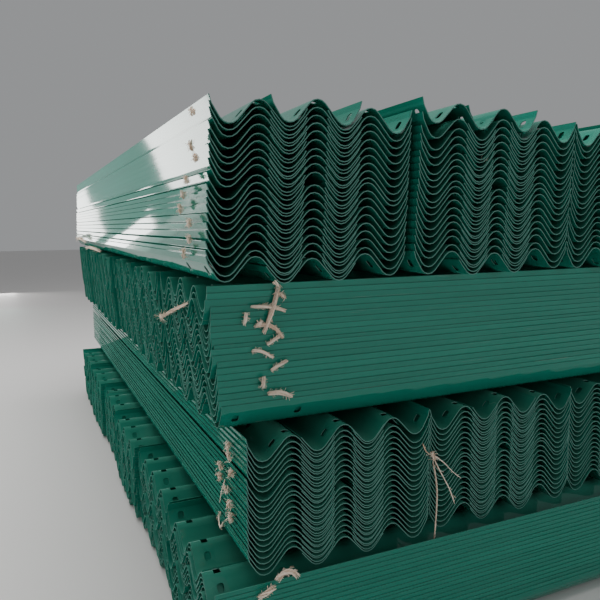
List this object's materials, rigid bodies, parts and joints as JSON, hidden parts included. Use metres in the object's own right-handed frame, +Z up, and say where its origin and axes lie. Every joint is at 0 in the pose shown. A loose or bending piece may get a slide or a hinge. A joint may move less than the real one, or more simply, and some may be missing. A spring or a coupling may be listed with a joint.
{
  "type": "cross-stacked pile of guardrail beams",
  "caption": "Square cross-stacked pile of nested W-beam guardrail rails in quarter-turned tiers, with loose top rails and straw packing ropes.",
  "frame": {"origin": "centre of the pile's plan, on the floor", "axes": "+Z up, +Y away from the viewer along the rails of the top tier, +X to the viewer's right along the rails of the tier below it"},
  "size_m": [4.3758, 4.405, 1.9111],
  "materials": {
    "green_coat": "gloss powder coat on steel",
    "straw": "dry straw"
  },
  "bodies": {
    "root": {"straw_rope_front": "straw", "straw_rope_low_side": "straw", "straw_rope_top_side": "straw", "tier_1_pack_1": "green_coat", "tier_1_pack_2": "green_coat", "tier_1_pack_3": "green_coat", "tier_1_pack_4": "green_coat", "tier_1_pack_5": "green_coat", "tier_1_pack_6": "green_coat", "tier_2_pack_1": "green_coat", "tier_2_pack_2": "green_coat", "tier_2_pack_3": "green_coat", "tier_2_pack_4": "green_coat", "tier_2_pack_5": "green_coat", "tier_2_pack_6": "green_coat", "tier_3_pack_1": "green_coat", "tier_3_pack_2": "green_coat", "tier_3_pack_3": "green_coat", "tier_3_pack_4": "green_coat", "tier_3_pack_5": "green_coat", "tier_3_pack_6": "green_coat", "tier_4_pack_1": "green_coat", "tier_4_pack_2": "green_coat", "tier_4_pack_3": "green_coat", "tier_4_pack_4": "green_coat", "tier_4_pack_5": "green_coat", "tier_4_pack_6": "green_coat", "top_rails_1": "green_coat", "top_rails_2": "green_coat", "top_rails_3": "green_coat", "top_rails_4": "green_coat", "top_rails_5": "green_coat", "top_rails_6": "green_coat"}
  },
  "joints": []
}
